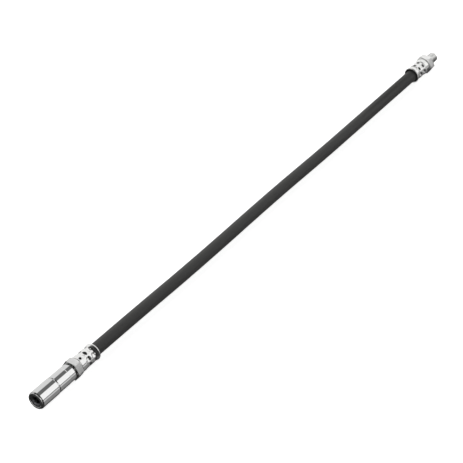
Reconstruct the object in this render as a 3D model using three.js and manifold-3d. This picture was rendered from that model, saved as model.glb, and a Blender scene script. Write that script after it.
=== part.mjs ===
// Flexible grease hose: a four-jaw coupler on one end, a rubber hose, and a threaded nipple on the other.
// Millimetres, +Z up. +X runs along the hose, from the coupler's nose to the threaded end.
// The origin is the middle of the underside of the whole hose as it lies on a bench.
// Every piece is drawn along +X with its own start at x = 0 and then placed at its station.
import * as THREE from "three";
import { mergeVertices } from "three/addons/utils/BufferGeometryUtils.js";
import Module from "manifold-3d";

const wasm = await Module();
wasm.setup();

// ---------------------------------------------------------------- driving dimensions

const GAP = 0.3; // clearance between two pieces that touch on the real hose

// Hose
const HOSE_DIAMETER = 11.6;
const HOSE_FREE_LENGTH = 521.6; // between the two ferrules
const HOSE_BORE = 5;
const COVER_WALL = 0.9;
const BRAID_WALL = 0.8;
const HOSE_SIDES = 12;
const HOSE_STEPS = 18;
// The hose keeps a faint wave from lying coiled: sideways offsets at even steps along it.
const HOSE_WAVE = [
  0, 0, 0, -0.15, -0.55, -0.65, -0.45, -0.05, 0.2, 0.15, -0.25, -0.5, -0.35, -0.2, -0.2, -0.2, 0,
];
const HOSE_SAG = 0.75; // how far the middle hangs below the ends
const HOSE_SAG_SPAN = 0.25; // share of the hose over which it comes down to that

// Ferrules, crimped over the hose ends
const FERRULE_LENGTH = 23.2;
const FERRULE_WALL = 1.5; // over the ribs between the dents
const FERRULE_COLLAR_STEP = 0.3; // the smooth collar stands proud of the ribs
const FERRULE_COLLAR_LENGTH = 6.2;
const FERRULE_BELL_LENGTH = 5.7;
const FERRULE_BELL_RISE = 0.6; // the uncrimped end stands proud of the ribs
const FERRULE_BELL_DIP = 0.4; // the crimp's end lies below the ribs
const FERRULE_END_WALL = 1.5;
const FERRULE_MOUTH_FLARE = 0.7;
const DENTS_PER_ROW = 8;
const DENT_ROWS = [9.6, 16.4]; // from the hexagon side
const DENT_RADIUS = 2.8;
const DENT_DEPTH = 1;
const DENT_TURN = 8.5; // degrees from the row's zero to its first dent
// A small hole shows that the hose is pushed in all the way.
const SIGHT_HOLE_DIAMETER = 2.6;
const SIGHT_HOLE_PLACE = 3.3; // from the hexagon side
const FRONT_SIGHT_HOLE_TURN = 106;
const REAR_SIGHT_HOLE_TURN = 1;

// Nipples, M10 x 1 with a 17 mm hexagon
const HEX_FLATS = 17;
const HEX_LENGTH = 7;
const HEX_CHAMFER_ANGLE = 30;
const THREAD_DIAMETER = 10;
const THREAD_PITCH = 1;
const THREAD_DEPTH = 0.6;
const THREAD_LENGTH = 14;
const THREAD_RELIEF = 1.2;
const RELIEF_STEP = 0.1; // the relief groove lies below the thread's root
const THREAD_CHAMFER = 0.8;
const NIPPLE_BORE = 2.6;
const LOCK_COLLAR_STEP = 0.9; // the locking collar lies below the hose's surface
const LOCK_COLLAR_LENGTH = 1.2;
const NECK_STEP = 0.9; // the neck lies below the locking collar
const TAIL_LENGTH = 18;
const BARB_PITCH = 5.5;
const BARB_DEPTH = 0.3;

// Coupler: nose sleeve over the jaws, screwed to the body
const SLEEVE_DIAMETER = 16.7;
const SLEEVE_LENGTH = 22.1;
const NOSE_CHAMFER_LENGTH = 1.3;
const NOSE_CHAMFER_DEPTH = 0.75;
const NOSE_OPENING = 11.5;
const CONE_HALF_ANGLE = 10;
const CONE_LENGTH = 8.5;
const BODY_DIAMETER = 16.1;
const BODY_REAR_DIAMETER = 15.8;
const BODY_TAPER_START = 14.6; // behind the seam
const BODY_LENGTH = 22.1; // behind the seam
const BODY_CHAMFER = 0.9;
const SPIGOT_LENGTH = 8.9;
const HEX_STANDOFF = 1.2; // thread that stays visible between the body and the hexagon

// Jaws
const JAW_RECESS = 0.4; // behind the nose face
const JAW_LENGTH = 5.6;
const JAW_LIP = 6.4; // hole that grips behind a nipple's head
const JAW_LIP_LENGTH = 1;
const JAW_LEAD_IN = 8.7;
const JAW_LEAD_IN_DEPTH = 1.1;
const JAW_POCKET = 7;
const JAW_POCKET_RAMP = 0.5;
const JAW_SLIT = 0.6;

// Piston, its seals and its spring
const PISTON_FLANGE = 1.7;
const PISTON_STEM_DIAMETER = 6.8;
const PISTON_STEM_LENGTH = 7.7;
const PISTON_TRAVEL = 2;
const PASSAGE = 2.6;
const SEAL_HEAD_LENGTH = 1.6;
const SEAL_TAIL_LENGTH = 1.2;
const SEAL_TAIL_DIAMETER = 4;
const SEAL_HOLE = 2;
const SEAL_DISH = 0.5;
const O_RING_SECTION = 1;
const O_RING_GROOVE_WIDTH = 1.3;
const O_RING_SQUEEZE = 0.12; // clearance left on each side of the ring
const O_RING_SETBACK = 0.4; // metal behind the groove
const JAW_SPRING_WIRE = 0.9;
const JAW_SPRING_TURNS = 3;
const JAW_SPRING_RADIUS = 5.3;

// Check valve in the body
const PASSAGE_LENGTH = 1.6;
const VALVE_CHAMBER = 6.4;
const BALL_DIAMETER = 4;
const SEAT_LENGTH = 2.8;
const SEAT_HOLE = 2.4;
const SEAT_MOUTH = 4.6;
const SEAT_MOUTH_DEPTH = 1.2;
const VALVE_SPRING_WIRE = 0.5;
const VALVE_SPRING_TURNS = 3.5;
const VALVE_SPRING_RADIUS = 1.5;
const GASKET_THICKNESS = 1;
const GASKET_HOLE = 5.2;

// Facets
const ROUND = 32;
const SMALL_ROUND = 24;

// ---------------------------------------------------------------- stations along X, from the nose face

const SEAM = SLEEVE_LENGTH;
const BODY_START = SEAM + GAP;
const BODY_END = SEAM + BODY_LENGTH;
const FRONT_HEX = BODY_END + HEX_STANDOFF;
const FRONT_HEX_BACK = FRONT_HEX + HEX_LENGTH;
const FRONT_FERRULE = FRONT_HEX_BACK + GAP;
const FRONT_FERRULE_END = FRONT_FERRULE + FERRULE_LENGTH;
const REAR_FERRULE = FRONT_FERRULE_END + HOSE_FREE_LENGTH;
const REAR_FERRULE_END = REAR_FERRULE + FERRULE_LENGTH;
const REAR_HEX = REAR_FERRULE_END + GAP;
const TOTAL_LENGTH = REAR_HEX + HEX_LENGTH + THREAD_LENGTH;
const NIPPLE_END = FRONT_HEX - THREAD_LENGTH; // front nipple's end, inside the coupler

// From the hexagon towards the hose: ferrule end wall, locking collar, hose end
const LOCK_COLLAR_START = GAP + FERRULE_END_WALL + GAP;
const LOCK_COLLAR_END = LOCK_COLLAR_START + LOCK_COLLAR_LENGTH;
const HOSE_INSET = LOCK_COLLAR_END + GAP;
const HOSE_START = FRONT_HEX_BACK + HOSE_INSET;
const HOSE_END = REAR_HEX - HOSE_INSET;

// Inside the coupler
const JAW_BACK = JAW_RECESS + JAW_LENGTH;
const PISTON_START = JAW_BACK + GAP;
const FLANGE_BACK = PISTON_START + PISTON_FLANGE;
const PISTON_END = FLANGE_BACK + PISTON_STEM_LENGTH;
const SPIGOT_START = BODY_START - SPIGOT_LENGTH;
const STEM_BORE_END = PISTON_END + PISTON_TRAVEL + GAP;
const CHAMBER_START = STEM_BORE_END + PASSAGE_LENGTH;
const GASKET_START = NIPPLE_END - GAP - GASKET_THICKNESS;
const CHAMBER_END = GASKET_START - GAP; // the thread's bore starts here
const SEAT_END = GASKET_START - GAP;
const SEAT_START = SEAT_END - SEAT_LENGTH;

// ---------------------------------------------------------------- radii that follow from the sizes above

const hoseRadius = HOSE_DIAMETER / 2;
const coverInner = hoseRadius - COVER_WALL;
const braidOuter = coverInner - GAP;
const braidInner = braidOuter - BRAID_WALL;
const linerOuter = braidInner - GAP;
const linerInner = HOSE_BORE / 2;
const tailRadius = linerInner * Math.cos(Math.PI / HOSE_SIDES) - GAP;
const lockCollarRadius = hoseRadius - LOCK_COLLAR_STEP;
const neckRadius = lockCollarRadius - NECK_STEP;
const ferruleBore = hoseRadius + GAP;
const ribRadius = ferruleBore + FERRULE_WALL;
const collarRadius = ribRadius + FERRULE_COLLAR_STEP;
const bellRadius = ribRadius + FERRULE_BELL_RISE;
const coneSlope = Math.tan(THREE.MathUtils.degToRad(CONE_HALF_ANGLE));
const sleeveBore = NOSE_OPENING / 2 + CONE_LENGTH * coneSlope;
const spigotRadius = sleeveBore - GAP;
const stemRadius = PISTON_STEM_DIAMETER / 2;
const stemBore = stemRadius + GAP;
const axisHeight = Math.max(HEX_FLATS, SLEEVE_DIAMETER, 2 * bellRadius) / 2;

// ---------------------------------------------------------------- geometry helpers

function toSolid(geometry) {
  const bare = new THREE.BufferGeometry();
  bare.setAttribute("position", geometry.getAttribute("position"));
  bare.setIndex(geometry.index);
  const merged = mergeVertices(bare, 1e-4);
  return new wasm.Manifold(
    new wasm.Mesh({
      numProp: 3,
      vertProperties: merged.getAttribute("position").array,
      triVerts: new Uint32Array(merged.index.array),
    }),
  );
}

function toGeometry(solid) {
  const { vertProperties, triVerts } = solid.getMesh();
  const geometry = new THREE.BufferGeometry();
  geometry.setAttribute("position", new THREE.BufferAttribute(new Float32Array(vertProperties), 3));
  geometry.setIndex(new THREE.BufferAttribute(new Uint32Array(triVerts), 1));
  geometry.computeVertexNormals();
  return geometry;
}

// A turned ring or bar about X from a closed outline of [x, radius] corners.
function turned(outline, segments = ROUND) {
  const next = (i) => outline[(i + 1) % outline.length];
  const area = outline.reduce((sum, [x, r], i) => sum + x * next(i)[1] - next(i)[0] * r, 0);
  const corners = area > 0 ? [...outline].reverse() : [...outline];
  corners.push(corners[0]);
  const points = corners.map(([x, r]) => new THREE.Vector2(r, x));
  return new THREE.LatheGeometry(points, segments).rotateZ(-Math.PI / 2);
}

// A closed skin through rings of radius(angle) at stations x, the last ring joined to the first.
function ringSkin(rings, segments) {
  const positions = [];
  for (const { x, radius } of rings) {
    for (let i = 0; i < segments; i++) {
      const angle = (2 * Math.PI * i) / segments;
      const r = radius(angle);
      positions.push(x, r * Math.cos(angle), r * Math.sin(angle));
    }
  }
  const indices = [];
  for (let row = 0; row < rings.length; row++) {
    const here = row * segments;
    const there = ((row + 1) % rings.length) * segments;
    for (let i = 0; i < segments; i++) {
      const j = (i + 1) % segments;
      indices.push(here + i, here + j, there + j);
      indices.push(here + i, there + j, there + i);
    }
  }
  const geometry = new THREE.BufferGeometry();
  geometry.setAttribute("position", new THREE.Float32BufferAttribute(positions, 3));
  geometry.setIndex(indices);
  return geometry;
}

function circlePoints(radius, sides) {
  const points = [];
  for (let i = 0; i < sides; i++) {
    const angle = (2 * Math.PI * i) / sides;
    points.push(new THREE.Vector2(radius * Math.cos(angle), radius * Math.sin(angle)));
  }
  return points;
}

function tubeAlong(path, outer, inner, sides, steps) {
  const section = new THREE.Shape(circlePoints(outer, sides));
  if (inner > 0) section.holes.push(new THREE.Path(circlePoints(inner, sides)));
  return new THREE.ExtrudeGeometry(section, { steps, extrudePath: path, bevelEnabled: false });
}

class Helix extends THREE.Curve {
  constructor(radius, length, turns) {
    super();
    this.radius = radius;
    this.length = length;
    this.turns = turns;
  }

  getPoint(t, target = new THREE.Vector3()) {
    const angle = 2 * Math.PI * this.turns * t;
    return target.set(this.length * t, this.radius * Math.cos(angle), this.radius * Math.sin(angle));
  }
}

// A coil spring that fills the stretch from start to end, wire included.
function coilSpring(start, end, wire, radius, turns, stepsPerTurn = 14) {
  const coil = new Helix(radius, end - start - wire, turns);
  const steps = Math.round(turns * stepsPerTurn);
  return tubeAlong(coil, wire / 2, 0, 6, steps).translate(start + wire / 2, 0, 0);
}

// ---------------------------------------------------------------- coupler

function noseSleeve() {
  const outer = SLEEVE_DIAMETER / 2;
  const edge = 0.3;
  return turned([
    [0, NOSE_OPENING / 2],
    [0, outer - NOSE_CHAMFER_DEPTH],
    [NOSE_CHAMFER_LENGTH, outer],
    [SEAM - edge, outer],
    [SEAM, outer - edge],
    [SEAM, sleeveBore],
    [CONE_LENGTH, sleeveBore],
  ]);
}

// The four jaws are one turned cone ring, cut into quarters by slits of constant width.
function jaw(index) {
  const clearance = GAP / Math.cos(THREE.MathUtils.degToRad(CONE_HALF_ANGLE));
  const outerAt = (x) => NOSE_OPENING / 2 + x * coneSlope - clearance;
  const lipStart = JAW_RECESS + JAW_LEAD_IN_DEPTH;
  const lipEnd = lipStart + JAW_LIP_LENGTH;
  const ring = turned([
    [JAW_RECESS, JAW_LEAD_IN / 2],
    [lipStart, JAW_LIP / 2],
    [lipEnd, JAW_LIP / 2],
    [lipEnd + JAW_POCKET_RAMP, JAW_POCKET / 2],
    [JAW_BACK, JAW_POCKET / 2],
    [JAW_BACK, outerAt(JAW_BACK)],
    [JAW_RECESS, outerAt(JAW_RECESS)],
  ]);
  const reach = NOSE_OPENING;
  const apex = (JAW_SLIT / 2) * Math.SQRT2;
  const wedge = new THREE.Shape([
    new THREE.Vector2(apex, 0),
    new THREE.Vector2(reach, reach - apex),
    new THREE.Vector2(reach, apex - reach),
  ]);
  const block = new THREE.ExtrudeGeometry(wedge, { depth: JAW_BACK + 1, bevelEnabled: false });
  block.rotateY(Math.PI / 2).rotateX((Math.PI / 2) * (index - 1));
  return toGeometry(toSolid(ring).intersect(toSolid(mergeVertices(block))));
}

function nozzleSeal() {
  const start = PISTON_START - GAP - SEAL_HEAD_LENGTH;
  const shoulder = PISTON_START - GAP;
  const head = JAW_POCKET / 2 - GAP - 0.1;
  return turned(
    [
      [start + SEAL_DISH, SEAL_HOLE / 2],
      [start, head - 0.5],
      [start, head],
      [shoulder, head],
      [shoulder, SEAL_TAIL_DIAMETER / 2],
      [shoulder + SEAL_TAIL_LENGTH, SEAL_TAIL_DIAMETER / 2],
      [shoulder + SEAL_TAIL_LENGTH, SEAL_HOLE / 2],
    ],
    SMALL_ROUND,
  );
}

const grooveEnd = PISTON_END - O_RING_SETBACK;
const grooveStart = grooveEnd - O_RING_GROOVE_WIDTH;
const oRingRadius = stemBore - O_RING_SQUEEZE - O_RING_SECTION / 2;
const grooveRadius = oRingRadius - O_RING_SECTION / 2 - O_RING_SQUEEZE;

function piston() {
  const flange = NOSE_OPENING / 2 + PISTON_START * coneSlope - GAP;
  const pocketEnd = PISTON_START + SEAL_TAIL_LENGTH;
  const pocket = SEAL_TAIL_DIAMETER / 2 + GAP;
  return turned(
    [
      [PISTON_START, pocket],
      [PISTON_START, flange],
      [FLANGE_BACK, flange],
      [FLANGE_BACK, stemRadius],
      [grooveStart, stemRadius],
      [grooveStart, grooveRadius],
      [grooveEnd, grooveRadius],
      [grooveEnd, stemRadius],
      [PISTON_END, stemRadius],
      [PISTON_END, PASSAGE / 2],
      [pocketEnd, PASSAGE / 2],
      [pocketEnd, pocket],
    ],
    SMALL_ROUND,
  );
}

function pistonORing() {
  const middle = (grooveStart + grooveEnd) / 2;
  const ring = new THREE.TorusGeometry(oRingRadius, O_RING_SECTION / 2, 8, SMALL_ROUND);
  return ring.rotateY(Math.PI / 2).translate(middle, 0, 0);
}

function couplerBody() {
  const front = BODY_DIAMETER / 2;
  const rear = BODY_REAR_DIAMETER / 2;
  const threadBore = THREAD_DIAMETER / 2 + GAP;
  const taperStart = SEAM + BODY_TAPER_START;
  return turned([
    [SPIGOT_START, stemBore],
    [SPIGOT_START, spigotRadius],
    [BODY_START, spigotRadius],
    [BODY_START, front - 0.3],
    [BODY_START + 0.3, front],
    [taperStart, front],
    [taperStart + 0.6, rear],
    [BODY_END - BODY_CHAMFER, rear],
    [BODY_END, rear - BODY_CHAMFER],
    [BODY_END, threadBore + 0.6],
    [BODY_END - 0.6, threadBore],
    [CHAMBER_END, threadBore],
    [CHAMBER_END, VALVE_CHAMBER / 2],
    [CHAMBER_START, VALVE_CHAMBER / 2],
    [CHAMBER_START, PASSAGE / 2],
    [STEM_BORE_END, PASSAGE / 2],
    [STEM_BORE_END, stemBore],
  ]);
}

// The ball sits on the seat's cone, with the cone's own clearance.
const seatSlope = Math.atan2((SEAT_MOUTH - SEAT_HOLE) / 2, SEAT_MOUTH_DEPTH);
const ballReach = BALL_DIAMETER / 2 + GAP - (SEAT_MOUTH / 2) * Math.cos(seatSlope);
const ballCentre = SEAT_START - ballReach / Math.sin(seatSlope);

function checkBall() {
  return new THREE.SphereGeometry(BALL_DIAMETER / 2, 18, 12).translate(ballCentre, 0, 0);
}

function checkSpring() {
  const start = CHAMBER_START + GAP;
  const end = ballCentre - BALL_DIAMETER / 2 - GAP + 0.1;
  return coilSpring(start, end, VALVE_SPRING_WIRE, VALVE_SPRING_RADIUS, VALVE_SPRING_TURNS, 10);
}

function valveSeat() {
  const outer = VALVE_CHAMBER / 2 - GAP;
  return turned(
    [
      [SEAT_START, SEAT_MOUTH / 2],
      [SEAT_START, outer],
      [SEAT_END, outer],
      [SEAT_END, SEAT_HOLE / 2],
      [SEAT_START + SEAT_MOUTH_DEPTH, SEAT_HOLE / 2],
    ],
    SMALL_ROUND,
  );
}

function couplerGasket() {
  const outer = THREAD_DIAMETER / 2;
  return turned(
    [
      [GASKET_START, GASKET_HOLE / 2],
      [GASKET_START, outer],
      [GASKET_START + GASKET_THICKNESS, outer],
      [GASKET_START + GASKET_THICKNESS, GASKET_HOLE / 2],
    ],
    SMALL_ROUND,
  );
}

// ---------------------------------------------------------------- nipples

// Hexagon with flats on top and bottom, chamfered on the side that faces the hose, at x = 0.
// Its eye is wider than the bore and narrower than the neck, so that the turned bar fills it.
function hexagon() {
  const eye = (NIPPLE_BORE / 2 + neckRadius) / 2;
  const corner = HEX_FLATS / Math.sqrt(3);
  const shape = new THREE.Shape(circlePoints(corner, 6));
  const prism = new THREE.ExtrudeGeometry(shape, { depth: HEX_LENGTH, bevelEnabled: false });
  prism.rotateX(Math.PI / 2).rotateZ(Math.PI / 2);
  const land = HEX_FLATS / 2 - 0.2;
  const rise = (corner + 0.2 - land) * Math.tan(THREE.MathUtils.degToRad(HEX_CHAMFER_ANGLE));
  const round = turned([
    [0, eye],
    [0, land],
    [rise, corner + 0.2],
    [HEX_LENGTH, corner + 0.2],
    [HEX_LENGTH, eye],
  ]);
  return toSolid(mergeVertices(prism)).intersect(toSolid(round));
}

// A right-hand thread with triangular flanks that runs out at both ends.
function threadedBar(start, length, segments, rowsPerTurn) {
  const major = THREAD_DIAMETER / 2;
  const rows = Math.round((length / THREAD_PITCH) * rowsPerTurn);
  const fade = THREAD_PITCH / 2;
  const rings = [{ x: start, radius: () => NIPPLE_BORE / 2 }];
  for (let i = 0; i <= rows; i++) {
    const x = start + (length * i) / rows;
    const inside = Math.min(1, (x - start) / fade, (start + length - x) / fade);
    rings.push({
      x,
      radius: (angle) => {
        const phase = (((x / THREAD_PITCH - angle / (2 * Math.PI)) % 1) + 1) % 1;
        const crest = 1 - Math.abs(2 * phase - 1);
        return major - THREAD_DEPTH + THREAD_DEPTH * crest * inside;
      },
    });
  }
  rings.push({ x: start + length, radius: () => NIPPLE_BORE / 2 });
  return ringSkin(rings, segments);
}

// Drawn with the hexagon's hose side at x = 0, the thread towards +X and the barbed tail towards -X.
function nipple(threadIsCut) {
  const bore = NIPPLE_BORE / 2;
  const root = THREAD_DIAMETER / 2 - THREAD_DEPTH;
  const relief = root - RELIEF_STEP;
  const threadEnd = HEX_LENGTH + THREAD_LENGTH;
  const threadStart = HEX_LENGTH + THREAD_RELIEF;
  const chamferStart = threadEnd - THREAD_CHAMFER;
  const shank = threadIsCut ? root : THREAD_DIAMETER / 2;
  const barbs = [];
  const barbCount = Math.floor(TAIL_LENGTH / BARB_PITCH);
  for (let i = 0; i < barbCount; i++) {
    const x = -LOCK_COLLAR_END - i * BARB_PITCH;
    barbs.push([x, tailRadius - BARB_DEPTH * (i > 0)], [x - BARB_PITCH + 0.4, tailRadius]);
  }
  const bar = turned(
    [
      [threadEnd, bore],
      [threadEnd, root],
      [chamferStart, shank],
      [threadStart, shank],
      [threadStart, relief],
      [HEX_LENGTH / 2, relief],
      [HEX_LENGTH / 2, neckRadius],
      [-LOCK_COLLAR_START, neckRadius],
      [-LOCK_COLLAR_START, lockCollarRadius],
      [-LOCK_COLLAR_END, lockCollarRadius],
      ...barbs,
      [-LOCK_COLLAR_END - TAIL_LENGTH, tailRadius - BARB_DEPTH],
      [-LOCK_COLLAR_END - TAIL_LENGTH, bore],
    ],
    SMALL_ROUND,
  );
  let solid = toSolid(bar).add(hexagon());
  if (threadIsCut) {
    const cut = threadedBar(threadStart, chamferStart - threadStart, SMALL_ROUND, 3);
    solid = solid.add(toSolid(cut));
  }
  return toGeometry(solid);
}

// ---------------------------------------------------------------- ferrules

// Drawn with the hexagon side at x = 0 and the bell mouth towards +X.
function ferrule(sightHoleTurn) {
  const bellStart = FERRULE_LENGTH - FERRULE_BELL_LENGTH;
  const lip = 0.6;
  const outline = [
    [0, collarRadius - lip],
    [lip, collarRadius],
    [FERRULE_COLLAR_LENGTH - 0.6, collarRadius],
    [FERRULE_COLLAR_LENGTH + 0.8, ribRadius],
    [bellStart - 1, ribRadius],
    [bellStart, ribRadius - FERRULE_BELL_DIP],
    [FERRULE_LENGTH - lip, bellRadius],
    [FERRULE_LENGTH, bellRadius - lip / 2],
  ];
  const surfaceAt = (x) => {
    const i = Math.max(1, outline.findIndex(([end]) => end >= x));
    const [x0, r0] = outline[i - 1];
    const [x1, r1] = outline[i];
    return THREE.MathUtils.mapLinear(x, x0, x1, r0, r1);
  };
  const dentStep = (2 * Math.PI) / DENTS_PER_ROW;
  const firstAngle = THREE.MathUtils.degToRad(DENT_TURN);
  const radiusAt = (x) => (angle) => {
    const surface = surfaceAt(x);
    const nearest = Math.round((angle - firstAngle) / dentStep) * dentStep + firstAngle;
    const aside = (angle - nearest) * surface;
    const dent = DENT_ROWS.reduce((sum, row) => {
      const share = Math.min(1, Math.hypot(x - row, aside) / DENT_RADIUS);
      return sum + DENT_DEPTH * (1 - share * share) ** 2;
    }, 0);
    return surface - dent;
  };
  const stations = outline.map(([x]) => x);
  const rowStep = DENT_RADIUS / 2.5;
  for (const row of DENT_ROWS) {
    for (let x = row - 2 * rowStep; x < row + DENT_RADIUS; x += rowStep) stations.push(x);
  }
  stations.sort((a, b) => a - b);
  const apart = stations.filter((x, i) => i === 0 || x - stations[i - 1] > 0.15);
  const rings = apart.map((x) => ({ x, radius: radiusAt(x) }));
  const mouth = FERRULE_LENGTH - 2.5;
  rings.push({ x: FERRULE_LENGTH, radius: () => ferruleBore + FERRULE_MOUTH_FLARE });
  rings.push({ x: mouth, radius: () => ferruleBore });
  rings.push({ x: FERRULE_END_WALL, radius: () => ferruleBore });
  rings.push({ x: FERRULE_END_WALL, radius: () => neckRadius + GAP });
  rings.push({ x: 0, radius: () => neckRadius + GAP });
  const hole = SIGHT_HOLE_DIAMETER / 2;
  const drill = new THREE.CylinderGeometry(hole, hole, 3 * FERRULE_WALL, 16);
  drill.translate(SIGHT_HOLE_PLACE, ferruleBore + FERRULE_WALL / 2, 0);
  drill.rotateX(THREE.MathUtils.degToRad(sightHoleTurn));
  return toGeometry(toSolid(ringSkin(rings, ROUND)).subtract(toSolid(drill)));
}

// ---------------------------------------------------------------- hose

function hoseRoute() {
  const last = HOSE_WAVE.length - 1;
  const points = HOSE_WAVE.map((aside, i) => {
    const share = i / last;
    const hang = THREE.MathUtils.smoothstep(Math.min(share, 1 - share), 0, HOSE_SAG_SPAN);
    return new THREE.Vector3(THREE.MathUtils.lerp(HOSE_START, HOSE_END, share), aside, -HOSE_SAG * hang);
  });
  return new THREE.CatmullRomCurve3(points);
}

function hoseLayer(outer, inner) {
  return tubeAlong(hoseRoute(), outer, inner, HOSE_SIDES, HOSE_STEPS);
}

// ---------------------------------------------------------------- assembly

const chrome = { color: 0xd6d8da, roughness: 0.12, metalness: 1 };
const zinc = { color: 0xcfd1d2, roughness: 0.22, metalness: 1 };
const steel = { color: 0x9a9a98, roughness: 0.35, metalness: 1 };
const springSteel = { color: 0x6f7072, roughness: 0.3, metalness: 1 };
const copper = { color: 0xb4744e, roughness: 0.35, metalness: 1 };
const coverRubber = { color: 0x343433, roughness: 0.55, metalness: 0 };
const linerRubber = { color: 0x1c1c1c, roughness: 0.6, metalness: 0 };
const sealRubber = { color: 0x151515, roughness: 0.5, metalness: 0 };

const assembly = new THREE.Group();
assembly.position.set(-TOTAL_LENGTH / 2, 0, axisHeight);

function place(name, geometry, finish, x = 0, turnedRound = false) {
  const mesh = new THREE.Mesh(geometry, new THREE.MeshStandardMaterial(finish));
  mesh.name = name;
  mesh.position.x = x;
  if (turnedRound) mesh.rotation.z = Math.PI;
  assembly.add(mesh);
}

place("nose_sleeve", noseSleeve(), chrome);
for (let index = 1; index <= 4; index++) place(`jaw_${index}`, jaw(index), steel);
place("nozzle_seal", nozzleSeal(), sealRubber);
place("piston", piston(), steel);
place("piston_o_ring", pistonORing(), sealRubber);
const springStart = FLANGE_BACK + GAP;
const springEnd = SPIGOT_START - GAP;
place(
  "jaw_spring",
  coilSpring(springStart, springEnd, JAW_SPRING_WIRE, JAW_SPRING_RADIUS, JAW_SPRING_TURNS),
  springSteel,
);
place("coupler_body", couplerBody(), chrome);
place("check_ball", checkBall(), steel);
place("check_spring", checkSpring(), springSteel);
place("valve_seat", valveSeat(), steel);
place("coupler_gasket", couplerGasket(), copper);
place("front_nipple", nipple(false), zinc, FRONT_HEX_BACK, true);
place("front_ferrule", ferrule(FRONT_SIGHT_HOLE_TURN), zinc, FRONT_FERRULE);
place("hose_cover", hoseLayer(hoseRadius, coverInner), coverRubber);
place("hose_braid", hoseLayer(braidOuter, braidInner), steel);
place("hose_liner", hoseLayer(linerOuter, linerInner), linerRubber);
place("rear_ferrule", ferrule(REAR_SIGHT_HOLE_TURN), zinc, REAR_FERRULE_END, true);
place("rear_nipple", nipple(true), zinc, REAR_HEX);

export default assembly;
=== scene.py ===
# %% [markdown]
# # A flexible grease hose
# A grease hose joins a hand pump to the nipples of a machine. One end carries a coupler whose four sprung
# jaws snap over a nipple, the other end has a male thread, and a rubber hose with a wire braid runs between.
# The pieces, joints and sizes are already settled in a CAD model. This lesson loads that model as a fixed
# frame and dresses each piece: a finely made mesh in the place of the plain one, and a real finish on it.

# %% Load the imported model
import math

import bmesh
import bpy
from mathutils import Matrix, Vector


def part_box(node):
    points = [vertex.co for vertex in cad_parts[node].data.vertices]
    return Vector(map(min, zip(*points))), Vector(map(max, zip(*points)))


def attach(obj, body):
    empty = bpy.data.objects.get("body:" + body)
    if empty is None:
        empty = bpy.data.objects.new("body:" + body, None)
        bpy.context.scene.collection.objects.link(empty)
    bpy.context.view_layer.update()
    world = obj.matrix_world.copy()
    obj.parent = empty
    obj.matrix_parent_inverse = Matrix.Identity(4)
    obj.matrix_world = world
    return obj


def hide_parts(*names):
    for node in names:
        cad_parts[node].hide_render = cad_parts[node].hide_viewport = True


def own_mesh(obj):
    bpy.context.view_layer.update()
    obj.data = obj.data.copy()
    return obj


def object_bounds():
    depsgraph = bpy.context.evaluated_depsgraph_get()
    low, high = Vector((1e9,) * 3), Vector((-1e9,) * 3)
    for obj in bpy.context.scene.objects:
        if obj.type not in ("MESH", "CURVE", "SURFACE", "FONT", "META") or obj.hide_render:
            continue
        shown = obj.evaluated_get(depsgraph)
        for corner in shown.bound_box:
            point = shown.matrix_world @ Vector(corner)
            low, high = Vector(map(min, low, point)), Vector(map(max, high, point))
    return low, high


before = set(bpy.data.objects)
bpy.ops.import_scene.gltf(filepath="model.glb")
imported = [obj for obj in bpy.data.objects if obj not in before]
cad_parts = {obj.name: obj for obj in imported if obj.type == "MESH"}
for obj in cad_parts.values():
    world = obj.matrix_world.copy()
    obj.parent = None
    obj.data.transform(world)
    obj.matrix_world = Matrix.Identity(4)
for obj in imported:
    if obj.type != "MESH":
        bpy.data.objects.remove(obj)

cad_low, cad_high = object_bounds()
MM = 0.001  # the frame is in metres, and the sizes of the pieces below are written in millimetres
CLEARANCE = 0.3  # the gap that the model leaves between pieces that touch on the real hose
axis_height = sum(corner.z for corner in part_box("nose_sleeve")) / 2
nose_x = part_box("nose_sleeve")[0].x
print("length", round((cad_high.x - cad_low.x) / MM, 1), "mm, axis", round(axis_height / MM, 2), "mm up")

# %% [markdown]
# ## The camera
# The hose is a long thin thing, so it is seen from far away with a long lens, which keeps both ends nearly
# the same size. The camera looks down at a little under 40 degrees, past the coupler's open nose, and the
# hose runs from the lower left corner to the upper right one. The aim is a point on the hose's own axis.

# %% Camera
CAMERA_SENSOR = 36
CAMERA_LENS = 148.5
CAMERA_DISTANCE = 1.745  # metres
CAMERA_AIM_FROM_NOSE = 278.6
camera_back = Vector((-0.647, -0.456, 0.611)).normalized()

camera = bpy.data.objects.new("camera", bpy.data.cameras.new("camera"))
bpy.context.scene.collection.objects.link(camera)
camera.data.lens = CAMERA_LENS
camera.data.sensor_width = CAMERA_SENSOR
camera.data.clip_start = 0.01
camera_aim = Vector((nose_x + CAMERA_AIM_FROM_NOSE * MM, 0, axis_height))
camera.location = camera_aim + camera_back * CAMERA_DISTANCE
camera.rotation_mode = "QUATERNION"
camera.rotation_quaternion = (-camera_back).to_track_quat("-Z", "Y")
bpy.context.scene.camera = camera
print("camera stands at", [round(v, 3) for v in camera.location])

# %% [markdown]
# ## How the meshes are made
# Nearly everything here was made on a lathe or pushed through a die, so one idea carries the whole object:
# a surface is a row of rings, and a skin joins each ring to the next. A turned piece is an outline spun
# round the axis. A crimped ferrule is the same rings with their radius dimpled, a hexagon is rings that
# follow six flats, and a hose or spring is rings carried along a path. Real corners are never perfectly
# sharp, and the tiny round on an edge is what catches the light, so each corner of an outline may have a
# fillet.

# %% Points and outlines
def ring_point(x, radius, angle, facing=1):
    """A point by its station, radius and angle, in millimetres and radians. Facing -1 turns it round."""
    y = facing * radius * math.cos(angle)
    return Vector((x * MM, y * MM, axis_height + radius * math.sin(angle) * MM))


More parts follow.
